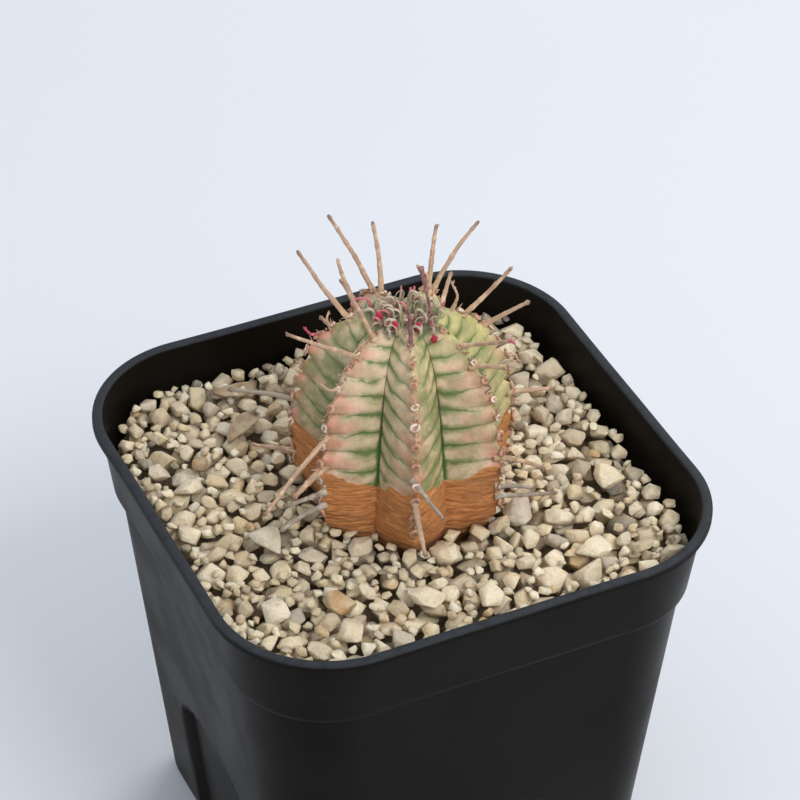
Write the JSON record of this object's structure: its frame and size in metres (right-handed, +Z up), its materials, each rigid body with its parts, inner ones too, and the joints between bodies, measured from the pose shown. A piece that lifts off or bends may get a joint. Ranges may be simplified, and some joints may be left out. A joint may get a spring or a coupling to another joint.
{
  "type": "potted euphorbia",
  "caption": "Small ribbed euphorbia with cream, pink and green ribs and dried spines, in a black square nursery pot dressed with quartz grit.",
  "frame": {"origin": "centre of the pot's underside", "axes": "+Z up; the pot's walls run along X and Y; the front rib of the plant points to -Y and a little to -X"},
  "size_m": [0.09, 0.09, 0.1304],
  "materials": {
    "black_plastic": "black injection-moulded plastic, satin, a little dusty",
    "soil": "dark potting soil",
    "quartz_grit": "crushed quartz and feldspar, cream to grey, some iron-stained",
    "stem_skin": "waxy variegated skin, cream and pink with green stripes, corky brown base",
    "dry_stalk": "dry woody flower stalks, tan to grey",
    "flower_bud": "crimson buds",
    "dry_leaf": "dry leaf flakes"
  },
  "bodies": {
    "root": {"pot": "black_plastic", "potting_soil": "soil", "gravel_layer": "quartz_grit", "stem": "stem_skin", "crown_tuft": "dry_stalk", "bud_1": "flower_bud", "bud_2": "flower_bud", "bud_3": "flower_bud", "spine_01": "dry_stalk", "spine_02": "dry_stalk", "spine_03": "dry_stalk", "spine_04": "dry_stalk", "spine_05": "dry_stalk", "spine_06": "dry_stalk", "spine_07": "dry_stalk", "spine_08": "dry_stalk", "spine_09": "dry_stalk", "spine_10": "dry_stalk", "spine_11": "dry_stalk", "spine_12": "dry_stalk", "spine_13": "dry_stalk", "spine_14": "dry_stalk", "spine_15": "dry_stalk", "spine_16": "dry_stalk", "spine_17": "dry_stalk", "spine_18": "dry_stalk", "spine_19": "dry_stalk", "spine_20": "dry_stalk", "spine_21": "dry_stalk", "spine_22": "dry_stalk", "spine_23": "dry_stalk", "spine_24": "dry_stalk", "spine_25": "dry_stalk", "spine_26": "dry_stalk", "spine_27": "dry_stalk", "spine_28": "dry_stalk", "spine_29": "dry_stalk", "spine_30": "dry_stalk", "spine_31": "dry_stalk", "spine_32": "dry_stalk", "spine_33": "dry_stalk", "spine_34": "dry_stalk", "spine_35": "dry_stalk", "spine_36": "dry_stalk", "pebble_01": "quartz_grit", "pebble_02": "quartz_grit", "pebble_03": "quartz_grit", "pebble_04": "quartz_grit", "pebble_05": "quartz_grit", "pebble_06": "quartz_grit", "pebble_07": "quartz_grit", "pebble_08": "quartz_grit", "pebble_09": "quartz_grit", "pebble_10": "quartz_grit", "pebble_11": "quartz_grit", "pebble_12": "quartz_grit", "pebble_13": "quartz_grit", "leaf_flake_1": "dry_leaf", "leaf_flake_2": "dry_leaf"}
  },
  "joints": []
}
